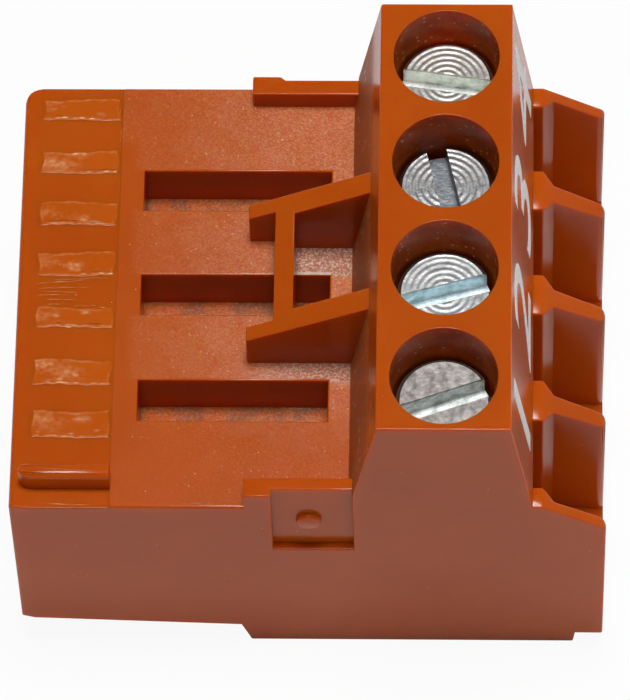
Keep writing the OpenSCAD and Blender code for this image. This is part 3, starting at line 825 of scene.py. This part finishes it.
def on_eroded_steel(mesh):
    """1 for each face that spark-eroded steel shaped, the deck and the slots' floors, and 0 for the rest."""
    centre = np.zeros(len(mesh.polygons) * 3)
    normal = np.zeros(len(mesh.polygons) * 3)
    mesh.polygons.foreach_get("center", centre)
    mesh.polygons.foreach_get("normal", normal)
    centre, normal = centre.reshape(-1, 3) / MM, normal.reshape(-1, 3)
    on_deck = np.abs(centre[:, 2] - DECK_Z) < 0.02
    on_floor = np.abs(centre[:, 2] - DECK_Z + SLOT_DEPTH) < 0.03
    from_face = centre[:, 0] + HALF_LENGTH
    rough = (on_deck | on_floor) & (normal[:, 2] > 0.9) & (from_face > STRIP_L) & (from_face < TOWER_X)
    if not rough.any():
        raise RuntimeError("the deck was not found on the moulding")
    return rough.astype(np.int32)


def digit_mesh(context, digit, height):
    """A printed digit, flat on the XY plane in millimetres, its middle at the origin."""
    curve = bpy.data.curves.new(f"numeral_{digit}_text", "FONT")
    curve.body = str(digit)
    curve.align_x, curve.align_y = "CENTER", "CENTER"
    # the typeface's digits are 0.69 of its size high
    curve.size = height / 0.69
    curve.extrude = 0.006
    text = linked(curve.name, curve)
    context.view_layer.update()
    mesh = bpy.data.meshes.new_from_object(text.evaluated_get(context.evaluated_depsgraph_get()))
    bpy.data.objects.remove(text)
    corners = [v.co for v in mesh.vertices]
    low, high = (Vector([limit(c[i] for c in corners) for i in range(3)]) for limit in (min, max))
    mesh.transform(Matrix.Translation(-(low + high) / 2))
    return mesh


# ---------- settings ----------


def length(name, description, default):
    """A size in millimetres that a user may change."""
    return bpy.props.FloatProperty(name=name, description=description, default=default, min=0.0, precision=3)


def colour_of(name, description, code):
    """A colour that a user may change."""
    kind = {"size": 4, "subtype": "COLOR", "min": 0, "max": 1}
    return bpy.props.FloatVectorProperty(name=name, description=description, default=linear(code), **kind)


class TerminalBlockLooks(bpy.types.PropertyGroup):
    """Sizes in millimetres and colours of the dressed terminal block."""

    edge_r: length("Edge radius", "Rounding of the moulding's outward edges, in millimetres", 0.075)
    spark_grain: length("Spark grain", "Width of one dimple of the spark-eroded deck, in millimetres", 0.085)
    gloss_rough: bpy.props.FloatProperty(
        name="Ground steel roughness",
        description="Roughness where the mould was ground",
        default=0.17,
        subtype="FACTOR",
    )
    plastic_dark: colour_of("Plastic, dark", "Darker tone of the orange polyester", "#BA500B")
    plastic_light: colour_of("Plastic, light", "Lighter tone of the orange polyester", "#C1570E")
    # also the colour of the painted glints on the deck
    stressed: colour_of("Stressed plastic", "Pale tone of torn ridges, nicks and dust", "#E9B493")
    ink: colour_of("Ink", "Pad-printed numerals", "#F4F1F1")
    driver_w: length("Driver slot width", "Width of the slot for the driver, in millimetres", 0.85)
    driver_depth: length("Driver slot depth", "Depth of the slot for the driver, in millimetres", 1.0)
    shank_r: length("Thread radius", "Outer radius of the screw's thread, in millimetres", 1.2)
    thread_pitch: length("Thread pitch", "Climb of the thread in one turn, in millimetres", 0.45)
    numeral_h: length("Numeral height", "Height of the printed numerals, in millimetres", 5.0)


# ---------- operators ----------


class TERMINAL_OT_moulding(bpy.types.Operator):
    """Makes the orange moulding with rounded edges, smooth and spark-eroded faces"""

    bl_idname = "terminal.moulding"
    bl_label = "Moulding"

    def execute(self, context):
        looks = context.scene.terminal_looks
        finishes = [polyester_against_ground_steel(looks), polyester_against_eroded_steel(looks)]
        hooks = {"reshape": sink_stubs, "room_for": crisper_bore_rim}
        radius = looks.edge_r * MM
        piece = rounded_copy("housing", "moulding", "housing", "housing_plastic", radius, finishes, **hooks)
        piece.data.polygons.foreach_set("material_index", on_eroded_steel(piece.data))
        return {"FINISHED"}


class TERMINAL_OT_scars(bpy.types.Operator):
    """Makes the seven torn patches where coding ribs were snapped off, and the scratches round them"""

    bl_idname = "terminal.scars"
    bl_label = "Rib scars and scratches"

    def execute(self, context):
        made = torn_polyester(context.scene.terminal_looks)
        sheets = {}
        for index, (scar, clouds) in enumerate(zip(RIB_SCARS, CLOUDS), 1):
            sheets[f"rib_scar_{index}"] = rib_scar(*scar, clouds, np.random.default_rng(40 + index))
        sheets["handling_scratches"] = scratch_lines(SCRATCHES, np.random.default_rng(7))
        for name, (points, quads, pale) in sheets.items():
            new_piece(name, points, quads, made, "housing", sharp=180, values=pale)
        return {"FINISHED"}


class TERMINAL_OT_numerals(bpy.types.Operator):
    """Prints the pole numbers 1 to 4 on the tower's rear face"""

    bl_idname = "terminal.numerals"
    bl_label = "Pole numerals"

    def execute(self, context):
        looks = context.scene.terminal_looks
        made = marking_ink(looks)
        foot = Vector((TRAY_X - HALF_LENGTH, 0, TRAY_Z))
        head = Vector((TOWER_REAR - HALF_LENGTH, 0, TOP_Z))
        up = (head - foot).normalized()
        right = Vector((0, 1, 0))
        out = right.cross(up)
        turned = Matrix([right, up, out]).transposed().to_4x4()
        for k in POLES:
            mesh = digit_mesh(context, k, looks.numeral_h)
            middle = (foot + head) / 2 + right * ((k - 2.5) * PITCH) + out * 0.008
            wide = Matrix.Diagonal((1.12, 1, 1, 1))
            mesh.transform(Matrix.Translation(middle * MM) @ turned @ Matrix.Scale(MM, 4) @ wide)
            mesh.name = f"numeral_{k}"
            mesh.materials.clear()
            mesh.materials.append(made)
            piece = linked(f"numeral_{k}", mesh)
            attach(piece, "housing")
        return {"FINISHED"}


class TERMINAL_OT_screws(bpy.types.Operator):
    """Makes the four slotted clamp screws with turned heads and threads"""

    bl_idname = "terminal.screws"
    bl_label = "Clamp screws"

    def execute(self, context):
        looks = context.scene.terminal_looks
        # each screw was turned and handled differently: the first one's head is worn flat and dull
        # the last of each row is the driver slot's tone, painted lighter or darker for the light each slot
        # catches
        zinc = (
            ("zinc_plated_steel_dulled", "#9C9894", 0.5, 0.35, 0.4, "#DCE2DF"),
            ("zinc_plated_turned_steel_bluish", "#B0B4B4", 0.38, 0.5, 0.35, "#DDF2F8"),
            ("zinc_plated_turned_steel_grey", "#A8AAAA", 0.36, 0.4, 0.45, "#8C9196"),
            ("zinc_plated_turned_steel", "#BCBCB6", 0.36, 0.5, 0.3, "#F2F8F0"),
        )
        heads = [bright_metal(name, linear(tone), *wear, linear(slot)) for name, tone, *wear, slot in zinc]
        # angle of each driver slot from +X in degrees, and the spacing and depth of its turning rings
        facing = {1: (20, 0.9, 0.003), 2: (16, 0.27, 0.008), 3: (-77, 0.27, 0.011), 4: (-9, 0.26, 0.01)}
        for k, made in zip(POLES, heads):
            low, high = (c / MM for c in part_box(f"clamp_screw_{k}"))
            middle = (low.x + high.x) / 2 + HALF_LENGTH, (low.y + high.y) / 2
            radius, seat = (high.x - low.x) / 2, high.z - HEAD_HEIGHT
            points, quads = slotted_screw(*middle, low.z, seat, high.z, radius, looks, *facing[k])
            piece = new_piece(f"screw_{k}", points, quads, made, f"screw_{k}", 38, merge=2e-7)
            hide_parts(f"clamp_screw_{k}")
        return {"FINISHED"}


class TERMINAL_OT_clamps(bpy.types.Operator):
    """Makes the yokes, fork contacts and oversprings with the soft edges of stamped metal"""

    bl_idname = "terminal.clamps"
    bl_label = "Yokes, contacts and springs"

    def execute(self, context):
        zinc = [bright_metal("zinc_plated_stamped_steel", linear("#BFC2C4"), 0.32, 0.6, 0.4)]
        tin = [bright_metal("tinned_copper_alloy", linear("#CFC9BA"), 0.3, 0.4, 0.3)]
        steel = [bright_metal("bright_spring_steel", linear("#C6CACF"), 0.2, 0.5, 0.15)]
        for k in POLES:
            rounded_copy(f"clamp_yoke_{k}", f"yoke_{k}_box", f"yoke_{k}", "yoke_steel", 0.06 * MM, zinc)
            rounded_copy(f"contact_{k}", f"fork_contact_{k}", "housing", "contact_metal", 0.04 * MM, tin)
            rounded_copy(f"overspring_{k}", f"spring_clip_{k}", "housing", "spring_steel", 0.03 * MM, steel)
        return {"FINISHED"}


# ---------- studio ----------


def seen_straight(path):
    """1 for rays that come from the camera, or through something clear."""
    return largest(path.outputs["Is Camera Ray"], path.outputs["Is Transmission Ray"])


def studio_floor(half=1.2):
    """A white sweep that keeps the object's shadow, and looks nearly as bright as the backdrop."""
    mesh = bpy.data.meshes.new("floor")
    corners = [(-half, -half, 0), (half, -half, 0), (half, half, 0), (-half, half, 0)]
    mesh.from_pydata(corners, [], [(0, 1, 2, 3)])
    floor = linked("floor", mesh)
    made, shader, _ = new_material("white_studio_sweep", Base_Color=linear("#F0F0F0"), Roughness=0.9)
    tree = made.node_tree
    path = add(tree, "ShaderNodeLightPath")
    share = largest(product(seen_straight(path), 0.93), product(path.outputs["Is Glossy Ray"], 0.15))
    glow = add(tree, "ShaderNodeEmission", {"Color": (1, 1, 1, 1), "Strength": 1.0})
    both = add(tree, "ShaderNodeMixShader", {0: share, 1: shader.outputs[0], 2: glow.outputs[0]})
    out = next(n for n in tree.nodes if n.bl_idname == "ShaderNodeOutputMaterial")
    fill(out, {"Surface": both.outputs[0]})
    mesh.materials.append(made)


def studio_air():
    """The world: white to the eye, and a room that lights the object, dim overhead and paler towards +X.

    What shines is shown the same white backdrop up to its top, and the dim room above it.
    """
    world = bpy.data.worlds.new("studio")
    world.use_nodes = True
    air = world.node_tree
    air.nodes.clear()
    path = add(air, "ShaderNodeLightPath")
    across, _, height = parts(add(air, "ShaderNodeTexCoord").outputs["Generated"])
    sweep = product(path.outputs["Is Glossy Ray"], rise(height, 0.2, 0.05))
    seen = largest(seen_straight(path), sweep)
    room = product(rise(height, 0.2, 0.7, 0.22, 0.05), rise(across, -0.8, 0.8, 0.35, 1.7))
    level = add(air, "ShaderNodeMix", {"Factor": seen, "A": room, "B": 1.0})
    sky = add(air, "ShaderNodeBackground", {"Color": (1, 1, 1, 1), "Strength": level.outputs[0]})
    add(air, "ShaderNodeOutputWorld", {"Surface": sky.outputs[0]})
    return world


def key_lamp():
    """A round soft lamp high over the object, a little behind it."""
    light = bpy.data.lights.new("key", "AREA")
    light.shape = "DISK"
    light.size = 0.2
    light.energy = 3.2
    lamp = linked("key", light)
    place, aim = Vector((0.01, 0.035, 0.62)), Vector((0, 0, 0.01))
    lamp.location = place
    lamp.rotation_euler = (aim - place).to_track_quat("-Z", "Y").to_euler()


def studio_camera():
    """A long lens that looks down on the plug. Its dip, heading from +Y and roll are in degrees."""
    dip, heading, roll = (math.radians(v) for v in (61.141, -3.109, -2.438))
    way = Vector((math.sin(heading) * math.cos(dip), math.cos(heading) * math.cos(dip), -math.sin(dip)))
    right = Vector((math.cos(heading), -math.sin(heading), 0))
    up = right.cross(way)
    across = right * math.cos(roll) + up * math.sin(roll)
    above = -right * math.sin(roll) + up * math.cos(roll)
    data = bpy.data.cameras.new("camera")
    data.sensor_width = 36.0
    data.lens = 351.35
    data.clip_start = 0.01
    data.clip_end = 20.0
    camera = linked("camera", data)
    turned = Matrix([across, above, -way]).transposed().to_4x4()
    camera.matrix_world = Matrix.Translation((0.007728, -0.141143, 0.263925)) @ turned
    return camera


class TERMINAL_OT_stage(bpy.types.Operator):
    """Sets up the floor, the studio light and the camera"""

    bl_idname = "terminal.stage"
    bl_label = "Stage"

    def execute(self, context):
        studio_floor()
        context.scene.world = studio_air()
        key_lamp()
        context.scene.camera = studio_camera()
        context.scene.view_settings.view_transform = "Standard"
        return {"FINISHED"}


OPERATORS = (
    TERMINAL_OT_moulding,
    TERMINAL_OT_scars,
    TERMINAL_OT_numerals,
    TERMINAL_OT_screws,
    TERMINAL_OT_clamps,
    TERMINAL_OT_stage,
)


class TERMINAL_PT_panel(bpy.types.Panel):
    """Lists the pieces of the terminal block"""

    bl_idname = "TERMINAL_PT_panel"
    bl_label = "Terminal block"
    bl_space_type = "VIEW_3D"
    bl_region_type = "UI"
    bl_category = "Terminal block"

    def draw(self, context):
        for name in TerminalBlockLooks.__annotations__:
            self.layout.prop(context.scene.terminal_looks, name)
        for operator in OPERATORS:
            self.layout.operator(operator.bl_idname)


CLASSES = (TerminalBlockLooks, *OPERATORS, TERMINAL_PT_panel)


def register():
    for cls in CLASSES:
        bpy.utils.register_class(cls)
    bpy.types.Scene.terminal_looks = bpy.props.PointerProperty(type=TerminalBlockLooks)


def unregister():
    del bpy.types.Scene.terminal_looks
    for cls in reversed(CLASSES):
        bpy.utils.unregister_class(cls)


def main():
    register()
    bpy.ops.terminal.moulding()
    bpy.ops.terminal.scars()
    bpy.ops.terminal.numerals()
    bpy.ops.terminal.screws()
    bpy.ops.terminal.clamps()
    bpy.ops.terminal.stage()


if __name__ == "__main__":
    main()
